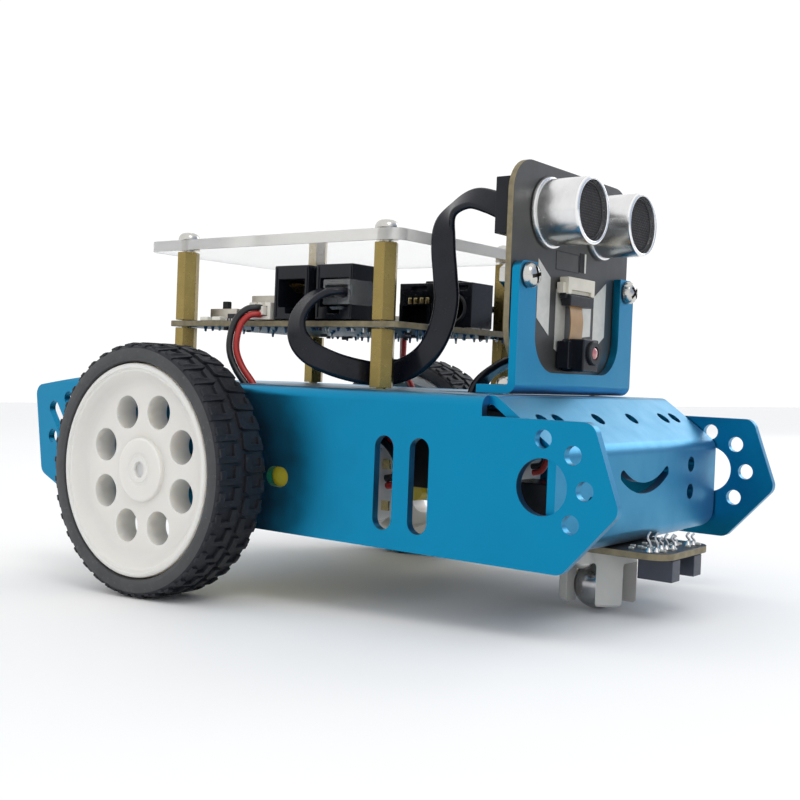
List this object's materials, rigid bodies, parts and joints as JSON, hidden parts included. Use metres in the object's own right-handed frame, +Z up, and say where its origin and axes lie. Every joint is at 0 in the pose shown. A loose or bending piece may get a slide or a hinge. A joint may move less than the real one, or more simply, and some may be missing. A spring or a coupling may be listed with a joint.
{
  "type": "two-wheel robot car",
  "caption": "Robot car on a folded blue chassis with two driven wheels, a ball caster, a controller stack and a distance-sensor head.",
  "frame": {"origin": "on the floor under the middle of the car's bounding box", "axes": "+X forward, +Y left, +Z up"},
  "size_m": [0.1911, 0.128, 0.1069],
  "materials": {
    "blue_anodised": "satin anodised",
    "circuit_board": "dark solder mask",
    "bright_aluminium": "brushed",
    "grille": "dark mesh",
    "bright_steel": "plated",
    "brass": "machined",
    "clear_acrylic": "clear",
    "black_plastic": "moulded",
    "tinned_steel": "tinned",
    "ivory_plastic": "moulded",
    "white_plastic": "moulded",
    "rubber": "matt",
    "yellow_plastic": "moulded",
    "grey_plastic": "moulded",
    "battery_wrap": "shrink wrap",
    "black_cable": "flat cable jacket",
    "lead_insulation": "red and black insulation"
  },
  "bodies": {
    "body": {"chassis": "blue_anodised", "sensor_bracket": "blue_anodised", "sensor_board": "circuit_board", "transducer_right": "bright_aluminium", "transducer_left": "bright_aluminium", "transducer_grille_right": "grille", "transducer_grille_left": "grille", "bracket_screw_right": "bright_steel", "bracket_screw_left": "bright_steel", "ribbon_connector": "ivory_plastic", "camera_module": "black_plastic", "sensor_socket": "black_plastic", "lower_standoff_rear_right": "brass", "lower_standoff_rear_left": "brass", "lower_standoff_front_right": "brass", "lower_standoff_front_left": "brass", "upper_standoff_rear_right": "brass", "upper_standoff_rear_left": "brass", "upper_standoff_front_right": "brass", "upper_standoff_front_left": "brass", "cover_screw_rear_right": "bright_steel", "cover_screw_rear_left": "bright_steel", "cover_screw_front_right": "bright_steel", "cover_screw_front_left": "bright_steel", "controller_board": "circuit_board", "cover_plate": "clear_acrylic", "side_socket_rear": "black_plastic", "side_socket_front": "black_plastic", "side_socket_left": "black_plastic", "front_socket": "black_plastic", "power_jack": "black_plastic", "usb_socket": "tinned_steel", "power_switch": "tinned_steel", "reset_button": "tinned_steel", "line_board": "circuit_board", "line_sensor_right": "black_plastic", "line_sensor_left": "black_plastic", "line_socket": "black_plastic", "caster_housing": "grey_plastic", "gearbox_right": "yellow_plastic", "gearbox_left": "yellow_plastic", "motor_right": "bright_aluminium", "motor_left": "bright_aluminium", "motor_connector_right": "ivory_plastic", "motor_connector_left": "ivory_plastic", "battery_holder": "black_plastic", "battery_pack": "battery_wrap", "sensor_cable": "black_cable", "line_cable": "black_cable", "lead_right": "lead_insulation", "lead_left": "lead_insulation"},
    "wheel_right": {"tyre_right": "rubber", "rim_right": "white_plastic", "output_shaft_right": "white_plastic"},
    "wheel_left": {"tyre_left": "rubber", "rim_left": "white_plastic", "output_shaft_left": "white_plastic"},
    "caster_ball": {"caster_ball": "bright_steel"},
    "power_lever": {"power_switch_lever": "black_plastic"},
    "reset_cap": {"reset_button_cap": "black_plastic"}
  },
  "joints": [
    {"name": "wheel_right_spin", "type": "hinge", "parent": "body", "child": "wheel_right", "pos_m": [-0.03033, 0, 0.0325], "axis": [0, 1, 0], "continuous": true},
    {"name": "wheel_left_spin", "type": "hinge", "parent": "body", "child": "wheel_left", "pos_m": [-0.03033, 0, 0.0325], "axis": [0, 1, 0], "continuous": true},
    {"name": "caster_ball_roll", "type": "hinge", "parent": "body", "child": "caster_ball", "pos_m": [0.06768, 0, 0.006], "axis": [0, 1, 0], "continuous": true},
    {"name": "power_switch_slide", "type": "slide", "parent": "body", "child": "power_lever", "axis": [0.9992, 0, -0.0406], "range_m": [0, 0.002]},
    {"name": "reset_button_press", "type": "slide", "parent": "body", "child": "reset_cap", "axis": [-0.0406, 0, -0.9992], "range_m": [0, 0.0005], "stiffness_N_per_m": 2500}
  ]
}
